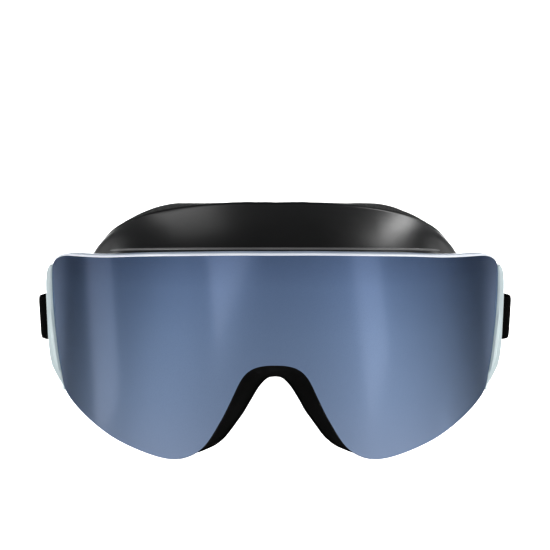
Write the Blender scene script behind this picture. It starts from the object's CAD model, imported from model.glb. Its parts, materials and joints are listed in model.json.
import json
import math
import bmesh
import bpy
import numpy as np
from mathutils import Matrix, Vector
from mathutils.geometry import delaunay_2d_cdt

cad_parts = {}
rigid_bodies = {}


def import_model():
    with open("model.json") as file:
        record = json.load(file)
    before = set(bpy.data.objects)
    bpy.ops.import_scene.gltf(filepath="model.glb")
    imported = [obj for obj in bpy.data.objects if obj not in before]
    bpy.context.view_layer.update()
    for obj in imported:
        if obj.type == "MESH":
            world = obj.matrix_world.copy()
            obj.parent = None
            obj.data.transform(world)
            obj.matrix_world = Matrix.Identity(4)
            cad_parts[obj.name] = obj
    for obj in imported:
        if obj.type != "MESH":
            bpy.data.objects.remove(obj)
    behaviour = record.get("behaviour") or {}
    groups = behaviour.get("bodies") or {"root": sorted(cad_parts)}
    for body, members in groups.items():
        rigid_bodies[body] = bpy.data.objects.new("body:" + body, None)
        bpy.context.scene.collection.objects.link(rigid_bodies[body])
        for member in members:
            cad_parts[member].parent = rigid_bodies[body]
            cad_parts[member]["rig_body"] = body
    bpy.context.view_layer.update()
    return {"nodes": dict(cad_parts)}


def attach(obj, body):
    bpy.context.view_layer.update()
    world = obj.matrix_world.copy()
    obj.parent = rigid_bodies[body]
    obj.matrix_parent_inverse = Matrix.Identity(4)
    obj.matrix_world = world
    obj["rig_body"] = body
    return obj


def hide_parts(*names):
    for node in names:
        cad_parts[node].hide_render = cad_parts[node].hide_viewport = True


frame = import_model()
NODES = frame["nodes"]

# ------------------------------------------------------------------ shape data
# millimetres; the same driving numbers as the CAD
LEAN = math.radians(17.0)
SA, CA = math.sin(LEAN), math.cos(LEAN)
R = 108.0
R2, R3 = 105.8, 104.0
SEAT_R, SEAT_T = 103.7, 2.6
FACE_R, FACE_Y = 105.0, 36.0
DEPTH0, DROP0 = 52.0, 20.0
LENS_HALF = [
    (0, 7.6), (13.2, 7.4), (28.3, 6.4), (43.8, 4.65), (55.7, 2.6), (66, 0.0),
    (74, -2.4), (80.3, -4.6), (84.6, -6.8), (87.9, -9.6), (89.6, -12.6), (90.1, -17),
    (90.1, -25), (89.7, -33), (89.0, -41), (88.1, -49), (86.8, -56.5),
    (85.7, -61.4), (83.4, -64.3), (79.9, -67), (72.8, -71), (64.3, -74.5),
    (55.9, -76.6), (47.5, -78), (42.5, -78.3), (38.5, -77.8), (34, -76.1), (29, -72.4),
    (25.7, -68.2), (22.5, -62.5), (20, -57.7), (17.4, -52), (14.9, -46.3),
    (12.3, -41.3), (8.3, -37.7), (3.8, -36.4), (0, -36.2),
]
FLANGE_HALF = [
    (0, 28.7), (11, 28.8), (24, 28.3), (37, 27.1), (48, 25.5), (57, 23.3),
    (63, 20.6), (67.4, 17.6), (70.4, 14.4), (72.4, 10.8), (73.8, 6.0), (74.7, 0),
    (75.6, -9), (76, -18), (75.8, -27), (75, -36), (73.2, -44.5),
    (71, -50.5), (68, -56), (63.5, -61), (57.5, -65.5), (50.5, -69),
    (43.5, -71), (37, -71.5), (33, -71.2), (30, -70.4), (27.1, -69.2), (23.2, -67.2),
    (19.8, -64.2), (16.8, -60.2), (14, -56.4), (11.4, -52.3), (8.8, -47.7),
    (6.2, -43.8), (3.6, -41.2), (1.6, -40.35), (0, -40.2),
]


# visible lens edge: the same outline with tighter upper corners
LENS_EDGE = [p for p in LENS_HALF]
for k, z in ((5, 0.25), (6, -1.5), (7, -3.0), (8, -4.55), (9, -7.2), (10, -10.6)):
    LENS_EDGE[k] = (LENS_HALF[k][0], z)


def closed(half):
    return np.array(half + [(-x, z) for x, z in reversed(half[1:-1])], float)


def unroll(p):
    q = p.copy()
    q[:, 0] = R * np.arcsin(p[:, 0] / R)
    return q


def inset(p, amount):
    """Moves a closed clockwise outline inwards, point by point."""
    d = np.roll(p, -1, 0) - np.roll(p, 1, 0)
    n = np.stack([d[:, 1], -d[:, 0]], 1)
    n /= np.maximum(np.linalg.norm(n, axis=1, keepdims=True), 1e-9)
    return p + n * (amount[:, None] if np.ndim(amount) else amount)


def smooth(p, times=1):
    for _ in range(times):
        p = (np.roll(p, 1, 0) + 2 * p + np.roll(p, -1, 0)) / 4
    return p


LENS0, FLANGE0 = closed(LENS_HALF), closed(FLANGE_HALF)
gap = (np.linalg.norm(np.roll(LENS0, -1, 0) - LENS0, axis=1) + np.linalg.norm(np.roll(FLANGE0, -1, 0) - FLANGE0, axis=1)) / 2
KNOTS = np.concatenate([[0.0], np.cumsum(gap)])
KNOTS /= KNOTS[-1]


def periodic(values):
    """Periodic cubic spline through the values at the shared knots."""
    n = len(values)
    h = np.diff(KNOTS)
    m = np.zeros((n, n))
    rhs = np.zeros_like(values)
    for i in range(n):
        a, b = h[i - 1], h[i]
        m[i, i - 1] += a
        m[i, i] += 2 * (a + b)
        m[i, (i + 1) % n] += b
        rhs[i] = 6 * ((values[(i + 1) % n] - values[i]) / b - (values[i] - values[i - 1]) / a)
    second = np.linalg.solve(m, rhs)

    def at(u):
        u = np.mod(u, 1.0)
        i = np.clip(np.searchsorted(KNOTS, u, side="right") - 1, 0, n - 1)
        j = (i + 1) % n
        hh = h[i][:, None]
        t1, t0 = (u - KNOTS[i])[:, None], (KNOTS[i + 1] - u)[:, None]
        return (second[i] * t0**3 + second[j] * t1**3) / (6 * hh) + (values[i] / hh - second[i] * hh / 6) * t0 + (values[j] / hh - second[j] * hh / 6) * t1

    return at


def even_halves(p, count):
    """Resamples a closed outline, each half evenly by its length, so both centre points stay."""
    n = len(p)
    cut = int(np.argmin(np.abs(p[: , 0]) + (p[:, 1] > -30) * 1e3))
    out = []
    for part in (p[: cut + 1], np.concatenate([p[cut:], p[:1]])):
        d = np.concatenate([[0], np.cumsum(np.linalg.norm(np.diff(part, axis=0), axis=1))])
        t = np.linspace(0, d[-1], count + 1)[:-1]
        out.append(np.stack([np.interp(t, d, part[:, k]) for k in range(2)], 1))
    return np.concatenate(out)


U = np.linspace(0, 1, 1440, endpoint=False)
LENS_DENSE = periodic(unroll(closed(LENS_EDGE)))(U)
LENS_DENSE[0, 0] = 0.0
LENS_LOOP = even_halves(LENS_DENSE, 260)


def body(x, y, z):
    """Row frame, metres, from millimetres measured at the lens front."""
    return np.stack([np.asarray(x, float), np.asarray(y, float) - DEPTH0, np.asarray(z, float) + DROP0], -1) / 1000


def lens_axes(x, y, z):
    x, y, z = np.broadcast_arrays(np.asarray(x, float), y, z)
    return body(x, y * CA - z * SA, y * SA + z * CA)


def on_lens(sz, rho):
    phi = sz[:, 0] / R
    return lens_axes(rho * np.sin(phi), R - rho * np.cos(phi), sz[:, 1])


def face_depth(x, shift=0.0):
    return FACE_Y + FACE_R - np.sqrt(FACE_R**2 - np.minimum(np.abs(x), 100.0) ** 2) + shift


# ------------------------------------------------------------------ mesh helpers
def new_object(name, verts, faces, body_name, mats, index=None, angle=35.0, uvs=None):
    me = bpy.data.meshes.new(name)
    me.from_pydata([tuple(v) for v in verts], [], [tuple(f) for f in faces])
    for m in mats:
        me.materials.append(m)
    if index is not None:
        me.polygons.foreach_set("material_index", index)
    me.polygons.foreach_set("use_smooth", [True] * len(me.polygons))
    if uvs is not None:
        layer = me.uv_layers.new(name="UVMap")
        loops = np.zeros(len(me.loops), np.int32)
        me.loops.foreach_get("vertex_index", loops)
        layer.data.foreach_set("uv", np.asarray(uvs, np.float32)[loops].ravel())
    me.validate()
    bm = bmesh.new()
    bm.from_mesh(me)
    bmesh.ops.recalc_face_normals(bm, faces=bm.faces)
    bm.to_mesh(me)
    bm.free()
    me.set_sharp_from_angle(angle=math.radians(angle))
    ob = bpy.data.objects.new(name, me)
    bpy.context.scene.collection.objects.link(ob)
    if body_name:
        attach(ob, body_name)
    return ob


def loft(loops, closed_v=False, caps=False):
    """Quads between closed loops that all have the same number of points."""
    n = len(loops[0])
    verts = np.concatenate(loops)
    faces = []
    rows = len(loops)
    for r in range(rows if closed_v else rows - 1):
        a, b = r * n, ((r + 1) % rows) * n
        for i in range(n):
            j = (i + 1) % n
            faces.append((a + i, a + j, b + j, b + i))
    if caps:
        faces.append(tuple(range(n)))
        faces.append(tuple(reversed(range((rows - 1) * n, rows * n))))
    return verts, faces


def fill(boundary, step):
    """Triangles inside a closed outline: its own points plus an even grid."""
    n = len(boundary)
    lo, hi = boundary.min(0), boundary.max(0)
    xs = np.arange(math.floor(lo[0] / step), math.ceil(hi[0] / step) + 1) * step
    zs = np.arange(math.floor(lo[1] / step), math.ceil(hi[1] / step) + 1) * step
    grid = np.array([(x, z) for x in xs for z in zs])
    a, b = boundary, np.roll(boundary, -1, 0)
    inside = np.zeros(len(grid), bool)
    for (x0, z0), (x1, z1) in zip(a, b):
        if z0 == z1:
            continue
        hit = (z0 > grid[:, 1]) != (z1 > grid[:, 1])
        xc = x0 + (grid[:, 1] - z0) * (x1 - x0) / (z1 - z0)
        inside ^= hit & (grid[:, 0] < xc)
    grid = grid[inside]
    far = np.array([np.min((a[:, 0] - g[0]) ** 2 + (a[:, 1] - g[1]) ** 2) for g in grid]) > (0.7 * step) ** 2
    grid = grid[far]
    pts = [Vector(p) for p in boundary] + [Vector(p) for p in grid]
    edges = [(i, (i + 1) % n) for i in range(n)]
    vo, _, fo, *_ = delaunay_2d_cdt(pts, edges, [], 1, 1e-7)
    return np.array([tuple(v) for v in vo]), fo


def join_meshes(parts):
    """Stacks (verts, faces, material index, uv) pieces into one mesh's arrays."""
    verts, faces, index, uvs, base = [], [], [], [], 0
    for v, f, m, *uv in parts:
        verts.append(np.asarray(v))
        faces += [tuple(i + base for i in q) for q in f]
        index += [m] * len(f)
        uvs.append(np.asarray(uv[0]) if uv else np.zeros((len(v), 2)))
        base += len(v)
    return np.concatenate(verts), faces, index, np.concatenate(uvs)


def weld(ob, dist=2e-6):
    bm = bmesh.new()
    bm.from_mesh(ob.data)
    bmesh.ops.remove_doubles(bm, verts=bm.verts, dist=dist)
    bmesh.ops.recalc_face_normals(bm, faces=bm.faces)
    bm.to_mesh(ob.data)
    bm.free()


# ------------------------------------------------------------------ materials
def shader(name, **values):
    mat = bpy.data.materials.new(name)
    mat.use_nodes = True
    nt = mat.node_tree
    bsdf = nt.nodes["Principled BSDF"]
    for key, value in values.items():
        bsdf.inputs[key.replace("_", " ")].default_value = value
    return mat, nt, bsdf


def node(nt, kind, **inputs):
    n = nt.nodes.new(kind)
    for key, value in inputs.items():
        if key in n.bl_rna.properties.keys() and not key in n.inputs:
            setattr(n, key, value)
        else:
            n.inputs[key].default_value = value
    return n


def coords(nt, which="Object"):
    return nt.nodes.new("ShaderNodeTexCoord").outputs[which]


def noise(nt, scale, detail=3.0, source=None, stretch=None):
    src = source or coords(nt)
    if stretch:
        mp = nt.nodes.new("ShaderNodeMapping")
        mp.inputs["Scale"].default_value = stretch
        nt.links.new(src, mp.inputs["Vector"])
        src = mp.outputs["Vector"]
    n = nt.nodes.new("ShaderNodeTexNoise")
    n.inputs["Scale"].default_value = scale
    n.inputs["Detail"].default_value = detail
    nt.links.new(src, n.inputs["Vector"])
    return n.outputs["Fac"]


def ramp(nt, fac, stops):
    r = nt.nodes.new("ShaderNodeValToRGB")
    els = r.color_ramp.elements
    while len(els) > 1:
        els.remove(els[-1])
    els[0].position, els[0].color = stops[0][0], stops[0][1]
    for pos, col in stops[1:]:
        e = els.new(pos)
        e.color = col
    nt.links.new(fac, r.inputs["Fac"])
    return r.outputs["Color"]


def grey(v, a=1.0):
    return (v, v, v, a)


def bump(nt, height, strength, distance, bsdf, normal="Normal", chain=None):
    b = nt.nodes.new("ShaderNodeBump")
    b.inputs["Strength"].default_value = strength
    b.inputs["Distance"].default_value = distance
    nt.links.new(height, b.inputs["Height"])
    if chain is not None:
        nt.links.new(chain, b.inputs["Normal"])
    nt.links.new(b.outputs["Normal"], bsdf.inputs[normal])
    return b.outputs["Normal"]


def rough_map(nt, bsdf, fac, low, high):
    m = nt.nodes.new("ShaderNodeMapRange")
    m.inputs["To Min"].default_value = low
    m.inputs["To Max"].default_value = high
    nt.links.new(fac, m.inputs["Value"])
    nt.links.new(m.outputs["Result"], bsdf.inputs["Roughness"])


def srgb(r, g, b, a=1.0):
    def lin(c):
        c /= 255
        return c / 12.92 if c <= 0.04045 else ((c + 0.055) / 1.055) ** 2.4
    return (lin(r), lin(g), lin(b), a)


def height_coord(nt, low, high):
    """0 at the low height, 1 at the high one, in row-frame metres along Z."""
    sep = nt.nodes.new("ShaderNodeSeparateXYZ")
    nt.links.new(coords(nt), sep.inputs["Vector"])
    m = nt.nodes.new("ShaderNodeMapRange")
    m.inputs["From Min"].default_value = low
    m.inputs["From Max"].default_value = high
    nt.links.new(sep.outputs["Z"], m.inputs["Value"])
    return m.outputs["Result"]


def mirror_material():
    mat, nt, b = shader("lens_mirror", Metallic=1.0, Roughness=0.2, Coat_Weight=0.35, Coat_Roughness=0.06)
    h = height_coord(nt, -0.053, 0.027)
    col = ramp(nt, h, [(0.0, (0.20, 0.265, 0.40, 1)), (0.3, (0.165, 0.235, 0.375, 1)), (0.62, (0.14, 0.21, 0.355, 1)), (0.85, (0.115, 0.18, 0.325, 1)), (1.0, (0.08, 0.13, 0.25, 1))])
    speck = noise(nt, 2600.0, 2.0)
    mix = nt.nodes.new("ShaderNodeMixRGB")
    mix.blend_type = "MULTIPLY"
    mix.inputs["Fac"].default_value = 0.12
    nt.links.new(col, mix.inputs["Color1"])
    nt.links.new(ramp(nt, speck, [(0.3, grey(0.7)), (0.7, grey(1.3))]), mix.inputs["Color2"])
    nt.links.new(mix.outputs["Color"], b.inputs["Base Color"])
    rough_map(nt, b, noise(nt, 60.0, 2.0), 0.155, 0.185)
    bump(nt, speck, 0.03, 0.00005, b)
    return mat


def edge_material():
    mat, nt, b = shader("lens_edge", Roughness=0.3, IOR=1.45, Specular_IOR_Level=0.35, Subsurface_Weight=0.2, Subsurface_Scale=0.003)
    b.inputs["Subsurface Radius"].default_value = (0.7, 0.85, 1.0)
    col = ramp(nt, noise(nt, 90.0), [(0.3, srgb(164, 178, 200)), (0.7, srgb(178, 191, 212))])
    nt.links.new(col, b.inputs["Base Color"])
    rough_map(nt, b, noise(nt, 300.0), 0.25, 0.35)
    bump(nt, noise(nt, 500.0, 4.0), 0.05, 0.0001, b)
    return mat


def bevel_material():
    mat, nt, b = shader("lens_bevel", Roughness=0.2, IOR=1.5, Specular_IOR_Level=0.5)
    nt.links.new(ramp(nt, noise(nt, 90.0), [(0.3, srgb(226, 233, 244)), (0.7, srgb(238, 243, 250))]), b.inputs["Base Color"])
    rough_map(nt, b, noise(nt, 300.0), 0.15, 0.25)
    return mat


def moulded(name, low, high, rough, grain=1400.0, depth=0.00008, strength=0.25, coat=0.0, spec=0.5):
    mat, nt, b = shader(name, Coat_Weight=coat, Coat_Roughness=0.2, Specular_IOR_Level=spec)
    nt.links.new(ramp(nt, noise(nt, 45.0, 4.0), [(0.35, low), (0.65, high)]), b.inputs["Base Color"])
    rough_map(nt, b, noise(nt, 240.0, 4.0), rough[0], rough[1])
    bump(nt, noise(nt, grain, 5.0), strength, depth, b)
    return mat


def foam_material(name, low, high, scale):
    mat, nt, b = shader(name, Sheen_Weight=0.25, Sheen_Roughness=0.6)
    v = nt.nodes.new("ShaderNodeTexVoronoi")
    v.inputs["Scale"].default_value = scale
    nt.links.new(coords(nt), v.inputs["Vector"])
    nt.links.new(ramp(nt, v.outputs["Distance"], [(0.15, low), (0.6, high)]), b.inputs["Base Color"])
    rough_map(nt, b, noise(nt, 400.0), 0.85, 1.0)
    bump(nt, v.outputs["Distance"], 0.6, 0.0003, b)
    return mat


def fleece_material():
    mat, nt, b = shader("fleece", Sheen_Weight=0.5, Sheen_Roughness=0.45)
    fibres = noise(nt, 1500.0, 6.0)
    big = noise(nt, 130.0, 3.0)
    nt.links.new(ramp(nt, fibres, [(0.3, grey(0.012)), (0.7, grey(0.035))]), b.inputs["Base Color"])
    rough_map(nt, b, fibres, 0.9, 1.0)
    first = bump(nt, big, 0.5, 0.0006, b)
    bump(nt, fibres, 0.7, 0.0003, b, chain=first)
    return mat


def weave_material(name, base, thread, pitch_u, pitch_v, sheen=0.2, spec=0.25):
    """Woven webbing on UVs in metres: u along the length, v across it."""
    mat, nt, b = shader(name, Sheen_Weight=sheen, Sheen_Roughness=0.4, Specular_IOR_Level=spec)
    uv = nt.nodes.new("ShaderNodeUVMap")
    uv.uv_map = "UVMap"
    sep = nt.nodes.new("ShaderNodeSeparateXYZ")
    nt.links.new(uv.outputs["UV"], sep.inputs["Vector"])

    def wave(out, pitch, phase=None):
        mul = nt.nodes.new("ShaderNodeMath")
        mul.operation = "MULTIPLY"
        mul.inputs[1].default_value = math.pi / pitch
        nt.links.new(out, mul.inputs[0])
        src = mul.outputs[0]
        if phase is not None:
            add = nt.nodes.new("ShaderNodeMath")
            add.operation = "ADD"
            nt.links.new(src, add.inputs[0])
            nt.links.new(phase, add.inputs[1])
            src = add.outputs[0]
        s = nt.nodes.new("ShaderNodeMath")
        s.operation = "SINE"
        nt.links.new(src, s.inputs[0])
        sq = nt.nodes.new("ShaderNodeMath")
        sq.operation = "MULTIPLY"
        nt.links.new(s.outputs[0], sq.inputs[0])
        nt.links.new(s.outputs[0], sq.inputs[1])
        return sq.outputs[0]

    across = nt.nodes.new("ShaderNodeMath")
    across.operation = "DIVIDE"
    across.inputs[1].default_value = pitch_v
    nt.links.new(sep.outputs["Y"], across.inputs[0])
    fl = nt.nodes.new("ShaderNodeMath")
    fl.operation = "FLOOR"
    nt.links.new(across.outputs[0], fl.inputs[0])
    half = nt.nodes.new("ShaderNodeMath")
    half.operation = "MULTIPLY"
    half.inputs[1].default_value = math.pi / 2
    nt.links.new(fl.outputs[0], half.inputs[0])
    rib = wave(sep.outputs["Y"], pitch_v)
    pick = wave(sep.outputs["X"], pitch_u, half.outputs[0])
    weave = nt.nodes.new("ShaderNodeMath")
    weave.operation = "MULTIPLY"
    nt.links.new(rib, weave.inputs[0])
    nt.links.new(pick, weave.inputs[1])
    nt.links.new(ramp(nt, weave.outputs[0], [(0.0, base), (0.75, thread)]), b.inputs["Base Color"])
    rough_map(nt, b, noise(nt, 900.0, 4.0), 0.7, 0.95)
    first = bump(nt, weave.outputs[0], 0.8, 0.0003, b)
    bump(nt, noise(nt, 3000.0, 4.0), 0.25, 0.0001, b, chain=first)
    return mat


def metal(name, tone, rough):
    mat, nt, b = shader(name, Metallic=1.0)
    nt.links.new(ramp(nt, noise(nt, 700.0, 4.0, stretch=(1, 1, 12)), [(0.3, grey(tone * 0.85)), (0.7, grey(tone))]), b.inputs["Base Color"])
    rough_map(nt, b, noise(nt, 350.0, 5.0), rough, rough + 0.12)
    bump(nt, noise(nt, 1600.0, 3.0), 0.1, 0.00003, b)
    return mat


def glass_material():
    mat, nt, b = shader("inner_lens_clear", Roughness=0.04, IOR=1.5, Transmission_Weight=0.85, Alpha=0.55)
    nt.links.new(ramp(nt, noise(nt, 12.0), [(0.3, (0.62, 0.68, 0.74, 1)), (0.7, (0.70, 0.75, 0.80, 1))]), b.inputs["Base Color"])
    rough_map(nt, b, noise(nt, 80.0), 0.03, 0.07)
    return mat


M = {
    "mirror": mirror_material(),
    "edge": edge_material(),
    "bevel": bevel_material(),
    "bead": moulded("frame_bead", grey(0.10), grey(0.13), (0.28, 0.36), strength=0.1),
    "frame": moulded("frame_tpu", grey(0.0025), grey(0.004), (0.27, 0.32), grain=2200.0, depth=0.00004, strength=0.2),
    "nose": moulded("nose_rubber", grey(0.0012), grey(0.0022), (0.6, 0.72), grain=2600.0, depth=0.00006, strength=0.3, spec=0.03),
    "seat": moulded("seat_plastic", grey(0.010), grey(0.016), (0.45, 0.6)),
    "arm": moulded("arm_plastic", srgb(205, 219, 221), srgb(213, 227, 229), (0.34, 0.42), grain=1600.0, strength=0.12),
    "yoke": moulded("yoke_plastic", grey(0.009), grey(0.014), (0.42, 0.55)),
    "slider": moulded("slider_plastic", grey(0.007), grey(0.011), (0.25, 0.35), strength=0.15, coat=0.2),
    "clip": moulded("clip_plastic", grey(0.010), grey(0.015), (0.4, 0.52)),
    "grip": moulded("grip_silicone", grey(0.045), grey(0.06), (0.3, 0.42), strength=0.1),
    "foam_dark": foam_material("foam_dark", grey(0.006), grey(0.022), 1500.0),
    "foam_soft": foam_material("foam_soft", grey(0.016), grey(0.045), 1100.0),
    "fleece": fleece_material(),
    "webbing": weave_material("webbing", grey(0.0008), grey(0.0025), 0.0011, 0.0009, 0.0, 0.03),
    "elastic": weave_material("strap_elastic", grey(0.006), grey(0.02), 0.0016, 0.0012, 0.15),
    "thread": moulded("stitch_thread", grey(0.03), grey(0.05), (0.6, 0.8), grain=6000.0),
    "steel": metal("pin_steel", 0.42, 0.22),
    "screw": metal("screw_steel", 0.5, 0.28),
    "magnet": metal("magnet", 0.7, 0.15),
    "glass": glass_material(),
    "spacer": moulded("spacer_foam", grey(0.008), grey(0.012), (0.7, 0.9)),
}

# ------------------------------------------------------------------ lens
d = np.roll(LENS_LOOP, -1, 0) - np.roll(LENS_LOOP, 1, 0)
up = -d[:, 0] / np.linalg.norm(d, axis=1) * -1.0
LIP = 0.30 + 0.45 * np.clip((up - 0.2) / 0.7, 0, 1)


def out(amount):
    return inset(LENS_LOOP, -amount)


fv, ff = fill(LENS_LOOP, 2.4)
front = (on_lens(fv, R), ff, 0)
ring_v, ring_f = loft([
    on_lens(LENS_LOOP, R), on_lens(out(LIP * 0.45), R - 0.10), on_lens(out(LIP * 0.85), R - 0.36),
    on_lens(out(LIP), R - 0.72), on_lens(out(LIP), R2 + 0.12), on_lens(out(LIP - 0.12), R2),
])
rv, rf = fill(out(LIP - 0.12), 3.0)
v, f, idx, _ = join_meshes([front, (ring_v, ring_f, 1), (on_lens(rv, R2), rf, 1)])
idx = np.array(idx)
mid_v = np.array([np.mean([v[i] for i in q], axis=0) for q in f])
n_front = len(ff)
idx[n_front:n_front + 3 * len(LENS_LOOP)] = 3
in_ring = np.zeros(len(f), bool)
in_ring[n_front:n_front + len(ring_f)] = True
idx[in_ring & (np.abs(mid_v[:, 0]) < 0.0375) & (mid_v[:, 2] < 0.005)] = 2
idx[n_front + len(ring_f):] = 0
lens = new_object("outer_lens_shield", v, f, "lens", [M["mirror"], M["edge"], M["nose"], M["bevel"]], idx, 25.0)
weld(lens)
lens.data.set_sharp_from_angle(angle=math.radians(14))
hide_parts("outer_lens")


def tidy_inner(amount, count):
    """Inside offset of the lens outline with its tight corners opened up."""
    p = LENS_LOOP.copy()
    for _ in range(int(amount / 0.5)):
        p = smooth(inset(p, 0.5), 6)
        p[0, 0] = 0.0
    return even_halves(p, count)


inner_edge = tidy_inner(7.5, 260)
lip2 = LIP - 0.05
loops = [
    on_lens(out(lip2 - 0.1), R2 - 0.05), on_lens(out(lip2), R2 - 0.17), on_lens(out(lip2), R3 + 0.45),
    on_lens(out(lip2 - 0.18), R3 + 0.12), on_lens(out(lip2 - 0.5), R3),
    on_lens(inset(inner_edge, -0.3), R3), on_lens(inner_edge, R3 + 0.3), on_lens(inner_edge, R2 - 0.05),
]
v, f = loft(loops, closed_v=True)
carrier = new_object("lens_carrier_ring", v, f, "lens", [M["edge"]], None, 30.0)
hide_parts("lens_carrier")

# ------------------------------------------------------------------ flexible frame
CT = 640
UU = np.linspace(0, 1, CT, endpoint=False)
seat_mid = periodic(inset(unroll(LENS0), 4.0))(UU)
flange_sp = periodic(FLANGE0)(UU)
C0 = np.stack([SEAT_R * np.sin(seat_mid[:, 0] / R), R - SEAT_R * np.cos(seat_mid[:, 0] / R), seat_mid[:, 1]], 1)
rho0 = SEAT_R - SEAT_T
C0 = np.stack([rho0 * np.sin(seat_mid[:, 0] / R), R - rho0 * np.cos(seat_mid[:, 0] / R), seat_mid[:, 1]], 1)
C0 = np.stack([C0[:, 0], C0[:, 1] * CA - C0[:, 2] * SA, C0[:, 1] * SA + C0[:, 2] * CA], 1)
C1 = np.stack([flange_sp[:, 0], face_depth(flange_sp[:, 0]), flange_sp[:, 1]], 1)
tang = np.roll(C0 * 0.5 + C1 * 0.5, -1, 0) - np.roll(C0 * 0.5 + C1 * 0.5, 1, 0)
rule = C1 - C0
norm = np.cross(rule, tang)
norm /= np.linalg.norm(norm, axis=1, keepdims=True)
centre = np.array([0.0, 30.0, -22.0])
if np.sum(norm * (C0 - centre)) < 0:
    norm = -norm
NOSE = np.exp(-(((UU - 0.5) / 0.085) ** 2) * 1.0)
TOPW = np.clip((C1[:, 2] - 2.0) / 14.0, 0, 1)
MIDDLE = 1 - np.clip((np.abs(C1[:, 0]) - 38.0) / 26.0, 0, 1) ** 1.5


CORNER = np.zeros(CT)
for c_u in (KNOTS[8], 1 - KNOTS[8]):
    CORNER += np.exp(-(((UU - c_u) / 0.026) ** 2))


def relief(t):
    """How far the wall tucks in behind the lens's upper corners."""
    if t < 0.25:
        return 4.6 + 3.0 * t / 0.25
    k = min((t - 0.25) / 0.6, 1.0)
    return 7.6 * (1 - k * k * (3 - 2 * k)) ** 1.3


def wall(t, lift=0.0, thick=0.0):
    """Outer skin of the frame at a share t of the way from lens seat to face flange."""
    belly = (0.3 + 1.6 * TOPW * MIDDLE) * math.sin(math.pi * min(max(t, 0), 1)) ** 0.9
    return C0 + rule * t + norm * (belly - CORNER * relief(t) + lift)[:, None]


def as_body(p):
    return body(p[:, 0], p[:, 1], p[:, 2])


ts = [0.0, 0.06, 0.12, 0.16, 0.19, 0.21, 0.225, 0.24, 0.255, 0.27, 0.29, 0.32, 0.36, 0.42, 0.5, 0.58, 0.66, 0.74, 0.82, 0.89, 0.94, 0.97]
outer_loops = [wall(t) for t in ts]
flange_n = np.stack([(np.roll(flange_sp, -1, 0) - np.roll(flange_sp, 1, 0))[:, 1], -(np.roll(flange_sp, -1, 0) - np.roll(flange_sp, 1, 0))[:, 0]], 1)
flange_n /= np.linalg.norm(flange_n, axis=1, keepdims=True)


SHOULDER = np.exp(-(((np.abs(flange_sp[:, 0]) - 43.0) / 12.5) ** 2)) * (flange_sp[:, 1] > 5)


def on_face(amount, shift, extra=0.0):
    """Flange outline moved inwards, on the face surface."""
    if amount <= 3.0:
        p = flange_sp + flange_n * (amount - extra * SHOULDER)[:, None]
    else:
        p = flange_sp + flange_n * 3.0
        for _ in range(int((amount - 3.0) / 0.5 + 0.5)):
            p = smooth(inset(p, 0.5), 10)
    return np.stack([p[:, 0], face_depth(p[:, 0], shift), p[:, 1]], 1)


rim = [on_face(-0.1, -0.7), on_face(0.25, -0.15), on_face(0.8, 0.0)]
IN_W = 12.0
inner = [on_face(IN_W - 0.5, 0.0), on_face(IN_W, -0.5), on_face(IN_W, -FACE_Y * 0 - 1.9), on_face(IN_W - 0.5, -2.4), on_face(3.6, -2.4)]
inner_wall = [wall(t) - norm * 2.2 for t in (0.86, 0.7, 0.5, 0.3, 0.12, 0.0)]
loops = [as_body(p) for p in outer_loops + rim + inner + inner_wall]
shell_v, shell_f = loft(loops, closed_v=True)


def wall_bead(height_of, cols, radius, n_ring=10):
    """Thin raised line on the wall: a tube that follows a chosen height and fades at its ends."""
    fine = np.linspace(0, 1, 161)
    stack = np.stack([wall(t) for t in fine])
    path, nrm = [], []
    for c in cols:
        col = stack[:, c]
        z = col[:, 2] - height_of(col[:, 0])
        hit = np.where(z >= 0)[0]
        k = int(hit[0]) if len(hit) else 0
        if k == 0:
            path.append(col[0])
        else:
            w = z[k - 1] / (z[k - 1] - z[k])
            path.append(col[k - 1] * (1 - w) + col[k] * w)
        nrm.append(norm[c])
    path, nrm = np.array(path), np.array(nrm)
    keep = np.abs(path[:, 0]) < 66.5
    path, nrm = path[keep], nrm[keep]
    for _ in range(3):
        path[1:-1] = (path[:-2] + 2 * path[1:-1] + path[2:]) / 4
    tan = np.gradient(path, axis=0)
    tan /= np.linalg.norm(tan, axis=1, keepdims=True)
    side_v = np.cross(nrm, tan)
    loops_ = []
    m = len(path)
    for i in range(m):
        fade = min(1.0, i / 8, (m - 1 - i) / 8) ** 0.5 * 0.9 + 0.1
        a = np.linspace(0, 2 * math.pi, n_ring, endpoint=False)
        pts = path[i] - nrm[i] * 0.1 + (side_v[i] * np.cos(a)[:, None] + nrm[i] * np.sin(a)[:, None]) * radius * fade
        loops_.append(as_body(pts))
    return loft(loops_, caps=True)


half = [c for c in range(CT) if UU[c] < KNOTS[7] * 0.965]
order = [CT - c for c in reversed(half[1:])] + half
bead_v, bead_f = wall_bead(lambda x: 10.0 + 0 * x, order, 0.6)
cols = [c for c in range(CT) if abs(UU[c] - 0.5) < 0.118]
ridge_path = wall(0.13)[cols]
ridge_n = norm[cols]
tan = np.gradient(ridge_path, axis=0)
tan /= np.linalg.norm(tan, axis=1, keepdims=True)
across = np.cross(ridge_n, tan)
ridge_loops = []
for i in range(len(cols)):
    a = np.linspace(0, 2 * math.pi, 10, endpoint=False)
    fade = min(1.0, i / 6, (len(cols) - 1 - i) / 6) * 0.85 + 0.15
    ridge_loops.append(as_body(ridge_path[i] - ridge_n[i] * 0.05 + (across[i] * np.cos(a)[:, None] + ridge_n[i] * np.sin(a)[:, None]) * 0.45 * fade))
ridge_v, ridge_f = loft(ridge_loops, caps=True)
v, f, idx, _ = join_meshes([(shell_v, shell_f, 0), (bead_v, bead_f, 2), (ridge_v, ridge_f, 0)])
frame_ob = new_object("face_frame_shell", v, f, "frame", [M["frame"], M["nose"], M["bead"]], idx, 40.0)
cen = np.zeros(len(frame_ob.data.polygons) * 3)
frame_ob.data.polygons.foreach_get("center", cen)
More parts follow.
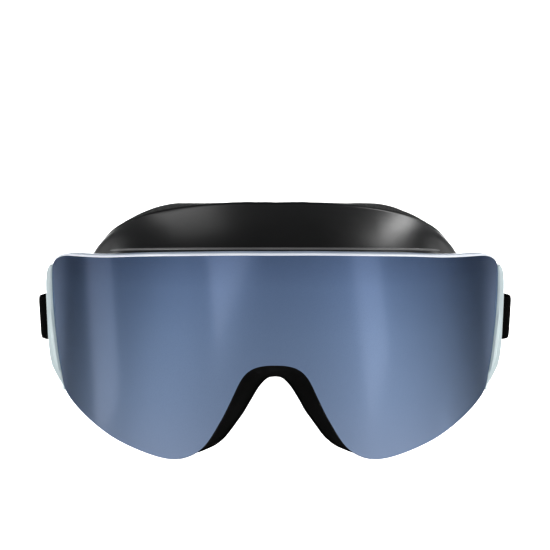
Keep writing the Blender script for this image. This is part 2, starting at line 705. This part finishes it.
cen = cen.reshape(-1, 3)
nose_faces = (np.abs(cen[:, 0]) < 0.036) & (cen[:, 2] < -0.005)
now = np.zeros(len(nose_faces), np.int32)
frame_ob.data.polygons.foreach_get("material_index", now)
now[nose_faces] = 1
frame_ob.data.polygons.foreach_set("material_index", now)
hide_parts("face_frame")

# ------------------------------------------------------------------ foam


def settle(ob, press, back_shift, cap=0.0008):
    """Lets the padding swell as cloth, held along the face it is bonded to."""
    scene = bpy.context.scene
    me = ob.data
    rest = np.zeros(len(me.vertices) * 3)
    me.vertices.foreach_get("co", rest)
    rest = rest.reshape(-1, 3)
    group = ob.vertex_groups.new(name="bonded")
    ring = len(UU)
    held = [i for i in range(len(rest)) if (i // ring) <= 1 or (i // ring) >= len(rest) // ring - 2]
    group.add(held, 1.0, "REPLACE")
    mod = ob.modifiers.new("cloth", "CLOTH")
    st = mod.settings
    st.quality = 5
    st.mass = 0.3
    st.tension_stiffness = st.compression_stiffness = 15.0
    st.shear_stiffness = 5.0
    st.bending_stiffness = 0.5
    st.use_pressure = True
    st.uniform_pressure_force = press
    st.effector_weights.gravity = 0.0
    st.vertex_group_mass = "bonded"
    mod.collision_settings.use_collision = False
    mod.point_cache.frame_start, mod.point_cache.frame_end = 1, 20
    for k in range(1, 21):
        scene.frame_set(k)
    dg_ = bpy.context.evaluated_depsgraph_get()
    done = bpy.data.meshes.new_from_object(ob.evaluated_get(dg_))
    now = np.zeros(len(done.vertices) * 3)
    done.vertices.foreach_get("co", now)
    now = now.reshape(-1, 3)
    ob.modifiers.clear()
    ob.vertex_groups.clear()
    scene.frame_set(1)
    if now.shape != rest.shape or not np.isfinite(now).all():
        return
    move = now - rest
    length = np.linalg.norm(move, axis=1, keepdims=True)
    move *= np.minimum(1.0, cap / np.maximum(length, 1e-9))
    me.vertices.foreach_set("co", (rest + move).ravel())
    me.update()
    print("SETTLED", ob.name, "mean", float(length.mean()), "max", float(length.max()))


def foam_ring(name, front_shift, back_shift, out_grow, mat, node_name, puff=0.0, wobble=0.0, pinned=None):
    rng = np.sin(UU * 2 * math.pi * 37) * 0.5 + np.sin(UU * 2 * math.pi * 61 + 1.3) * 0.5
    steps = []
    h = back_shift - front_shift
    for k in range(9):
        t = k / 8
        bulge = puff * math.sin(math.pi * t)
        p = on_face(-out_grow - bulge, front_shift + h * t, 2.0)
        steps.append(p + np.stack([flange_n[:, 0], 0 * UU, flange_n[:, 1]], 1) * (rng * wobble)[:, None])
    r = min(1.2, h * 0.45)
    steps.append(on_face(-out_grow + r * 0.35, back_shift + 0.0, 2.0))
    for k in range(1, 7):
        w = k / 7
        steps.append(on_face(-out_grow + r + (IN_W - 2 * r) * w, back_shift + puff * 0.55 * math.sin(math.pi * w), 2.0))
    for k in range(9):
        t = 1 - k / 8
        bulge = puff * 0.8 * math.sin(math.pi * t)
        steps.append(on_face(IN_W + bulge, front_shift + h * t))
    v, f = loft([as_body(p) for p in steps], closed_v=True)
    ob = new_object(name, v, f, "frame", [mat], None, 50.0)
    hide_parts(node_name)
    if pinned is not None:
        settle(ob, pinned, back_shift)
    return ob


foam_ring("face_foam_base", 0.05, 6.4, -0.2, M["foam_dark"], "foam_base", 0.25, 0.03)
foam_ring("face_foam_soft", 6.5, 13.4, -0.3, M["foam_soft"], "foam_face", 0.9, 0.05, pinned=4.0)
foam_ring("face_foam_lining", 13.5, 15.2, -0.5, M["fleece"], "foam_lining", 0.35, 0.05, pinned=2.0)

# ------------------------------------------------------------------ moulded parts with softened edges


def softened(node_name, name, mat, width, segments=3, angle=28.0, body_name=None, subdiv=0):
    """A copy of a CAD part with its edges rounded."""
    src = NODES[node_name]
    me = src.data.copy()
    me.name = name
    ob = bpy.data.objects.new(name, me)
    bpy.context.scene.collection.objects.link(ob)
    me.materials.clear()
    me.materials.append(mat)
    bm = bmesh.new()
    bm.from_mesh(me)
    bmesh.ops.remove_doubles(bm, verts=bm.verts, dist=1e-6)
    bmesh.ops.dissolve_limit(bm, angle_limit=math.radians(1.0), verts=bm.verts, edges=bm.edges)
    bmesh.ops.recalc_face_normals(bm, faces=bm.faces)
    bm.to_mesh(me)
    bm.free()
    mod = ob.modifiers.new("edges", "BEVEL")
    mod.width = width
    mod.segments = segments
    mod.limit_method = "ANGLE"
    mod.angle_limit = math.radians(angle)
    mod.use_clamp_overlap = True
    mod.harden_normals = False
    dg = bpy.context.evaluated_depsgraph_get()
    baked = bpy.data.meshes.new_from_object(ob.evaluated_get(dg))
    bm = bmesh.new()
    bm.from_mesh(baked)
    bmesh.ops.triangulate(bm, faces=[q for q in bm.faces if len(q.verts) > 4])
    bm.to_mesh(baked)
    bm.free()
    ob.modifiers.clear()
    ob.data = baked
    baked.name = name
    baked.polygons.foreach_set("use_smooth", [True] * len(baked.polygons))
    baked.set_sharp_from_angle(angle=math.radians(40))
    wn = ob.modifiers.new("normals", "WEIGHTED_NORMAL")
    wn.keep_sharp = True
    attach(ob, body_name or src["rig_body"])
    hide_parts(node_name)
    return ob


def slim_yoke(ob):
    """The yoke is thick only where it takes the webbing; its ends are thin."""
    bm = bmesh.new()
    bm.from_mesh(ob.data)
    for hgt in [k * 0.4 for k in range(19, 29)]:
        for sg in (1, -1):
            bmesh.ops.bisect_plane(bm, geom=bm.verts[:] + bm.edges[:] + bm.faces[:], plane_co=(0, 0, (DROP0 - 18.0 + sg * hgt) / 1000), plane_no=(0, 0, 1), dist=1e-7)
    bm.to_mesh(ob.data)
    bm.free()
    for vert in ob.data.vertices:
        dz = abs(vert.co.z * 1000 - DROP0 - (-18.0))
        w = min(max((dz - 7.8) / 3.0, 0.0), 1.0)
        w = w * w * (3 - 2 * w)
        x = abs(vert.co.x * 1000)
        lim = 92.4
        if x > lim:
            vert.co.x = math.copysign((x + (lim - x) * w) / 1000, vert.co.x)


EDGE_Y = [262.5, 264.5, 267.5, 272, 280, 290, 300, 315, 330, 345, 355, 364, 370, 377, 384.5]
EDGE_X = [54.0, 50.2, 47.9, 46.7, 46.1, 46.2, 46.6, 47.4, 48.1, 49.0, 50.2, 52.2, 55.0, 58.6, 63.2]
lens_side = LENS_LOOP[(LENS_LOOP[:, 0] > 40) & (LENS_LOOP[:, 1] > -70)]
lens_side = lens_side[np.argsort(-lens_side[:, 1])]


def arm_lip(side, name):
    """Pale front lip of the side arm, a crescent that hugs the lens edge."""
    z_all = np.linspace(-11.0, -63.0, 110)
    loops_ = []
    for zl in z_all:
        near = lens_side[np.argmin(np.abs(lens_side[:, 1] - zl) + (lens_side[:, 0] < 60) * 50)]
        phi = near[0] / R
        lx, ly = R * math.sin(phi), R - R * math.cos(phi)
        y_mid = 50.3 - 3.6 * min(max((-zl - 38.0) / 25.0, 0.0), 1.0)
        vy, vz = y_mid * CA - zl * SA, y_mid * SA + zl * CA
        py = 275 - 1858.5 * vz / (vy + 700)
        px = np.interp(py, EDGE_Y, EDGE_X)
        xo = (275 - px) * (vy + 700) / 1858.5
        xi = lx + 0.25
        xo = max(xo, xi + 0.25)
        y0 = max(ly + 0.5, y_mid - 1.6)
        y1 = y0 + 2.4 - 1.1 * math.exp(-(((zl + 35.5) / 14.0) ** 4))
        w, r_ = xo - xi, min(0.45, (xo - xi) * 0.35)
        ring = [(xi, y0 + 0.15), (xi + w * 0.2, y0 - 0.05), (xi + w * 0.45, y0), (xo - r_, y0 + 0.12), (xo - r_ * 0.3, y0 + r_ * 0.45),
                (xo, y0 + r_ + 0.1), (xo, y1 - r_), (xo - r_ * 0.3, y1 - r_ * 0.3), (xo - r_, y1), (xi - 0.6, y1), (xi - 1.2, y1 - 0.3), (xi - 0.9, y0 + 1.0)]
        ring = np.array(ring)
        loops_.append(lens_axes(side * ring[:, 0], ring[:, 1], np.full(len(ring), zl)))
    lv, lf = loft(loops_, caps=True)
    ob = new_object(name, lv, lf, "frame", [M["arm"]], None, 32.0)
    return ob


arm_lip(1, "arm_lip_right")
arm_lip(-1, "arm_lip_left")

for hand in ("left", "right"):
    softened("side_arm_" + hand, "arm_shell_" + hand, M["arm"], 0.00035)
    slim_yoke(softened("strap_yoke_" + hand, "yoke_shell_" + hand, M["yoke"], 0.0006))
    softened("slider_" + hand, "slider_shell_" + hand, M["slider"], 0.0006)
    softened("clip_" + hand, "clip_shell_" + hand, M["clip"], 0.0005)

# ------------------------------------------------------------------ webbing and elastic
STRAP_ZC, STRAP_H, STRAP_T, STRAP_X = -18.0, 38.0, 2.4, 93.0
STRAIGHT, BACK, CLIP_HALF = 140.0, 222.0, 24.0


def band(path, normals, half_t, z0, z1, name, body_name, mat, mat2=None, cols=30, wave=0.0):
    """A flat strap with rounded selvedges that follows a plan path."""
    path, normals = np.asarray(path, float), np.asarray(normals, float)
    length = np.concatenate([[0], np.cumsum(np.linalg.norm(np.diff(path, axis=0), axis=1))])
    mid, hh = (z0 + z1) / 2, (z1 - z0) / 2
    prof = []
    for k in range(cols + 1):
        q = -1 + 2 * k / cols
        prof.append((q * hh, half_t * (1 - abs(q) ** 14 * 0.55)))
    ring = [(z, t) for z, t in prof] + [(z, -t) for z, t in reversed(prof)]
    loops, uvs = [], []
    for i in range(len(path)):
        pts = []
        for z, t in ring:
            w = wave * math.sin(length[i] * 0.9 + z * 0.35) * (1 if t > 0 else -1)
            pts.append((path[i, 0] + normals[i, 0] * (t + w), path[i, 1] + normals[i, 1] * (t + w), mid + z))
            uvs.append((length[i] / 1000, (z + hh) / 1000 if t > 0 else (z + hh) / 1000 + 0.0004))
        loops.append(body(*np.array(pts).T))
    v, f = loft(loops, caps=True)
    ob = new_object(name, v, f, body_name, [mat], None, 50.0, uvs=uvs)
    return ob


def strap_path(side, n_straight=30, n_curve=70, start=88.0, first=0.0, last=90.0, end_run=8.0):
    pts, nor = [], []
    a, b = STRAP_X - CLIP_HALF, BACK - STRAIGHT
    for i in range(n_straight):
        pts.append((side * STRAP_X, start + (STRAIGHT - start) * i / n_straight))
        nor.append((side, 0.0))
    for i in range(n_curve + 1):
        th = math.radians(first + (last - first) * i / n_curve)
        pts.append((side * (CLIP_HALF + a * math.cos(th)), STRAIGHT + b * math.sin(th)))
        nx, ny = math.cos(th) / a, math.sin(th) / b
        L = math.hypot(nx, ny)
        nor.append((side * nx / L, ny / L))
    if end_run:
        for i in range(1, 5):
            pts.append((side * (CLIP_HALF - end_run * i / 4), BACK))
            nor.append((0.0, 1.0))
    return pts, nor


def stitches(name, body_name, origin, u_dir, v_dir, n_dir, rows, count, pitch, length=1.9, r=0.22):
    """Rows of raised thread stitches on a plane, each a bent capsule of thread."""
    verts, faces = [], []
    o, ud, vd, nd = (np.array(a, float) for a in (origin, u_dir, v_dir, n_dir))
    for row in rows:
        for c in range(count):
            base = o + ud * (c * pitch) + vd * row
            ringn, segs = 6, 6
            start = len(verts)
            for s in range(segs + 1):
                t = s / segs
                arch = math.sin(math.pi * t)
                cpt = base + ud * (t * length) + nd * (arch * 0.16 + 0.02)
                rr = r * (0.35 + 0.65 * arch ** 0.5)
                for k in range(ringn):
                    a = 2 * math.pi * k / ringn
                    verts.append(cpt + (vd * math.cos(a) + nd * math.sin(a)) * rr)
            for s in range(segs):
                for k in range(ringn):
                    a0, a1 = start + s * ringn + k, start + s * ringn + (k + 1) % ringn
                    faces.append((a0, a1, a1 + ringn, a0 + ringn))
            faces.append(tuple(start + k for k in range(ringn)))
            faces.append(tuple(start + segs * ringn + k for k in reversed(range(ringn))))
    v = np.array(verts)
    ob = new_object(name, body(v[:, 0], v[:, 1], v[:, 2]), faces, body_name, [M["thread"]], None, 60.0)
    return ob


PIN_X, PIN_Y, PIN_Z, TAB_H = 91.3, 56.0, -35.5, 18.8


def tab_loop(side):
    """Webbing folded round the steel pin, its two layers sewn together behind it."""
    cx, cy, ro, ri = 92.7, 56.3, 4.0, 2.45
    outer, inner_ = [], []
    for k in range(45):
        a = math.radians(-60 - 0.0) + 0
        th = math.radians(62 + (478 - 180 - 62 + 0) * 0)
        break
    angles = np.radians(np.linspace(118, 422, 56))
    for a in angles:
        outer.append((cx - ro * math.sin(a) * -1 * 1.0, cy + ro * math.cos(a)))
        inner_.append((cx - ri * math.sin(a) * -1 * 1.0, cy + ri * math.cos(a)))
    return outer, inner_


def ring_band(side, name):
    """The visible loop: a closed band of webbing, oval in plan."""
    cx, cy = 92.7, 56.3
    n, cols = 72, 16
    loops, uvs = [], []
    hh = TAB_H / 2
    total = 0.0
    prev = None
    plan = []
    for i in range(n):
        a = 2 * math.pi * i / n
        # flat-sided oval whose rear end pinches towards the sewn tail
        ox, oy = 3.95 * math.cos(a), 3.95 * math.sin(a)
        if oy > 0:
            ox *= 1 - 0.42 * (oy / 3.95) ** 2
            oy *= 1.22
        plan.append((ox, oy))
    plan = np.array(plan)
    d1 = np.roll(plan, -1, 0) - np.roll(plan, 1, 0)
    nn = np.stack([d1[:, 1], -d1[:, 0]], 1)
    nn /= np.linalg.norm(nn, axis=1, keepdims=True)
    length = np.concatenate([[0], np.cumsum(np.linalg.norm(np.diff(np.vstack([plan, plan[:1]]), axis=0), axis=1))])
    t_w = 1.45
    ringp = []
    for k in range(cols + 1):
        q = -1 + 2 * k / cols
        ringp.append((q * hh, 0.0, q))
    for k in range(cols + 1):
        q = 1 - 2 * k / cols
        ringp.append((q * hh, 1.0, q))
    for i in range(n):
        pts = []
        for z, side_in, q in ringp:
            thin = 0.28 * abs(q) ** 10
            off = -(t_w - thin) if side_in else -thin
            taper = 1.0 + 0.05 * (z / hh) * (1 if plan[i, 0] > 0 else 0.2)
            px = cx + (plan[i, 0] + nn[i, 0] * off) * taper
            py = cy + plan[i, 1] + nn[i, 1] * off
            pts.append((side * px, py, PIN_Z + 0.6 + z * 0.935))
            uvs.append((length[i] / 1000, (z + hh) / 1000))
        pts = np.array(pts)
        loops.append(lens_axes(pts[:, 0], pts[:, 1], pts[:, 2]))
    m = len(ringp)
    verts = np.concatenate(loops)
    faces = []
    for i in range(n):
        a, b = i * m, ((i + 1) % n) * m
        for k in range(m):
            l = (k + 1) % m
            faces.append((a + k, a + l, b + l, b + k))
    # sewn tail behind the loop
    cols2, run = 16, 12
    tail_loops, tail_uv = [], []
    for i in range(run + 1):
        y = 60.4 + (67.0 - 60.4) * i / run
        half = 1.5
        pts = []
        for k in range(cols2 + 1):
            q = -1 + 2 * k / cols2
            pts.append((side * (cx + half * (1 - 0.25 * abs(q) ** 10)), y, PIN_Z + q * hh))
            tail_uv.append((y / 1000, (q * hh + hh) / 1000))
        for k in range(cols2 + 1):
            q = 1 - 2 * k / cols2
            pts.append((side * (cx - half * (1 - 0.25 * abs(q) ** 10)), y, PIN_Z + q * hh))
            tail_uv.append((y / 1000, (q * hh + hh) / 1000))
        pts = np.array(pts)
        tail_loops.append(lens_axes(pts[:, 0], pts[:, 1], pts[:, 2]))
    tv, tf = loft(tail_loops, caps=True)
    v, f, idx, uv = join_meshes([(verts, faces, 0, uvs), (tv, tf, 0, tail_uv)])
    return new_object(name, v, f, "strap_" + ("right" if side > 0 else "left"), [M["webbing"]], idx, 50.0, uvs=uv)


for side, hand in ((1, "right"), (-1, "left")):
    rides = "strap_" + hand
    loop_ob = ring_band(side, "webbing_loop_" + hand)
    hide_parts("strap_tab_" + hand)
    p, nrm = strap_path(side)
    strap_ob = band(p, nrm, STRAP_T / 2 - 0.05, STRAP_ZC - STRAP_H / 2, STRAP_ZC + STRAP_H / 2, "elastic_strap_" + hand, rides, M["elastic"])
    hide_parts("strap_" + hand)
    ys = np.linspace(88.0, 134.0, 24)
    tail_ob = band([(side * 90.4, y) for y in ys], [(side, 0.0)] * 24, 1.05, STRAP_ZC - STRAP_H / 2 + 0.1, STRAP_ZC + STRAP_H / 2 - 0.1, "return_layer_" + hand, rides, M["elastic"])
    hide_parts("strap_tail_" + hand)
    # bar-tack rows at the end of the return layer
    stitches("return_stitches_" + hand, rides, (side * 89.3, 131.0, STRAP_ZC - 16.5), (0, 0, 1), (0, 1, 0), (-side, 0, 0), (0.0, -2.2), 14, 2.4)
    stitches("strap_end_stitches_" + hand, rides, (side * 29.0, BACK + 0.0, STRAP_ZC - 16.5), (0, 0, 1), (side, 0, 0), (0, 1, 0), (0.0,), 14, 2.4) if False else None

    # silicone grip lines with a slow wave on the inner face
    a, b = STRAP_X - CLIP_HALF, BACK - STRAIGHT
    parts = []
    for mid in (-11.0, 0.0, 11.0):
        loops_ = []
        for i in range(121):
            th = math.radians(2 + 82 * i / 120)
            wv = 1.3 * math.sin(i * 0.42)
            pts = []
            for q, hgt in ((-1.5, 0.0), (-1.3, 0.28), (-0.8, 0.45), (0, 0.5), (0.8, 0.45), (1.3, 0.28), (1.5, 0.0)):
                g = -(STRAP_T / 2) + 0.06 - hgt
                pts.append((side * (CLIP_HALF + (a + g) * math.cos(th)), STRAIGHT + (b + g) * math.sin(th), STRAP_ZC + mid + wv + q))
            g = -(STRAP_T / 2) + 0.3
            pts.append((side * (CLIP_HALF + (a + g) * math.cos(th)), STRAIGHT + (b + g) * math.sin(th), STRAP_ZC + mid + wv))
            loops_.append(body(*np.array(pts).T))
        gv, gf = loft(loops_, caps=True)
        parts.append((gv, gf, 0))
    gv, gf, gi, _ = join_meshes(parts)
    grip = new_object("grip_lines_" + hand, gv, gf, rides, [M["grip"]], gi, 60.0)
    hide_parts("strap_grips_" + hand)

# ------------------------------------------------------------------ carried-over CAD parts
for n, m in (("lens_seal", "spacer"), ("inner_lens", "glass"), ("lens_magnets", "magnet"), ("frame_magnets", "magnet"),
             ("lens_seat", "seat"), ("side_screws", "screw"), ("strap_pin_left", "steel"), ("strap_pin_right", "steel"),
             ("clip_magnets_left", "magnet"), ("clip_magnets_right", "magnet")):
    ob = NODES[n]
    ob.data.materials.clear()
    ob.data.materials.append(M[m])

# ------------------------------------------------------------------ stage, light, camera
FLOOR_Z = -0.45


def stage_sheet():
    """Seamless pale floor that curves up into a backdrop."""
    prof = [(-4.0, 0.0)]
    for k in range(13):
        a = math.radians(90 * k / 12)
        prof.append((2.2 + 1.2 * math.sin(a), 1.2 - 1.2 * math.cos(a)))
    prof.append((3.4, 1.5))
    verts = [(x, y, z + FLOOR_Z) for y, z in prof for x in (-5.0, 5.0)]
    faces = [(2 * i, 2 * i + 1, 2 * i + 3, 2 * i + 2) for i in range(len(prof) - 1)]
    mat, nt, b = shader("pale_floor", Roughness=0.9)
    nt.links.new(ramp(nt, noise(nt, 3.0), [(0.0, grey(0.86)), (1.0, grey(0.9))]), b.inputs["Base Color"])
    b.inputs["Specular IOR Level"].default_value = 0.1
    ob = new_object("stage_floor", verts, faces, None, [mat], None, 80.0)
    return ob


stage_sheet()


def area(name, loc, aim, sx, sy, power, color=(1, 1, 1)):
    li = bpy.data.lights.new(name, "AREA")
    li.shape = "RECTANGLE"
    li.size, li.size_y = sx, sy
    li.energy = power
    li.color = color
    ob = bpy.data.objects.new(name, li)
    ob.location = loc
    ob.rotation_euler = (Vector(aim) - Vector(loc)).to_track_quat("-Z", "Z").to_euler()
    ob.visible_camera = False
    bpy.context.scene.collection.objects.link(ob)
    return ob


def panel(name, az0, az1, z0, z1, radius, radiance, color=(1, 1, 1)):
    """Upright softbox seen in the lens between two azimuths, measured from the front."""
    a = math.radians((az0 + az1) / 2)
    width = 2 * radius * math.tan(math.radians(abs(az1 - az0) / 2))
    height = z1 - z0
    loc = (radius * math.sin(a), -radius * math.cos(a), (z0 + z1) / 2)
    power = radiance * width * height * math.pi
    ob = area(name, loc, (0, 0, (z0 + z1) / 2), width, height, power, color)
    return ob


WARM = (1.15, 1.0, 0.88)
world = bpy.data.worlds.new("studio")
bpy.context.scene.world = world
world.use_nodes = True
bg = world.node_tree.nodes["Background"]
sky_nt = world.node_tree
sky_sep = sky_nt.nodes.new("ShaderNodeSeparateXYZ")
sky_nt.links.new(sky_nt.nodes.new("ShaderNodeTexCoord").outputs["Generated"], sky_sep.inputs["Vector"])
sky_map = sky_nt.nodes.new("ShaderNodeMapRange")
sky_map.inputs["From Min"].default_value = -1.0
sky_map.inputs["From Max"].default_value = 1.0
sky_nt.links.new(sky_sep.outputs["Z"], sky_map.inputs["Value"])
sky_nt.links.new(ramp(sky_nt, sky_map.outputs["Result"], [(0.40, (0.18, 0.185, 0.19, 1)), (0.48, (0.62, 0.63, 0.64, 1)), (0.55, (0.62, 0.63, 0.64, 1)), (0.66, (0.13, 0.135, 0.14, 1)), (0.75, (0.085, 0.088, 0.092, 1))]), bg.inputs["Color"])
bg.inputs["Strength"].default_value = 1.0

panel("panel_left", -98, -75, -0.155, -0.05, 0.42, 0.4, WARM)
panel("panel_front_left", -32, -8, -0.235, -0.15, 0.42, 0.62, WARM)
panel("panel_front_right", 31, 58, -0.225, -0.14, 0.42, 0.38, WARM)
panel("panel_low_right", 72, 125, -0.44, -0.25, 0.36, 0.22)


def sky(name, direction, dist, sx, sy, radiance):
    d_ = Vector(direction).normalized() * dist
    return area(name, d_, (0, 0, 0), sx, sy, radiance * sx * sy * math.pi)


sky("top_right", (0.47, 0.45, 0.77), 0.9, 0.10, 0.6, 5.2)
sky("top_left", (-0.30, 0.5, 0.80), 0.9, 0.20, 0.6, 0.9)
sky("front_soft", (0.0, -0.75, 0.66), 1.3, 1.4, 0.5, 0.35)
area("floor_wash", (0.2, -0.9, 0.35), (0.2, -0.65, -0.45), 1.5, 0.8, 0.72)
for sx, tag in ((1, "right"), (-1, "left")):
    area("side_fill_" + tag, (sx * 0.85, -0.55, 0.12), (sx * 0.09, 0, 0), 0.35, 0.6, 4.2)
    area("side_wash_" + tag, (sx * 1.0, -0.1, 0.3), (sx * 0.6, -0.1, -0.45), 0.8, 1.2, 5.2 if sx > 0 else 3.3)
area("backdrop_wash", (0, 1.5, 1.2), (0, 3.4, 0.3), 3.0, 1.2, 170.0)

cam = bpy.data.cameras.new("camera")
cam.sensor_width = 36.0
cam.lens = 1858.5 / 550 * 36.0
cam.clip_start = 0.05
cam_ob = bpy.data.objects.new("camera", cam)
cam_ob.location = (0, -0.700 - DEPTH0 / 1000, DROP0 / 1000)
cam_ob.rotation_euler = (math.radians(90), 0, 0)
bpy.context.scene.collection.objects.link(cam_ob)
bpy.context.scene.camera = cam_ob
bpy.context.scene.view_settings.view_transform = "Standard"
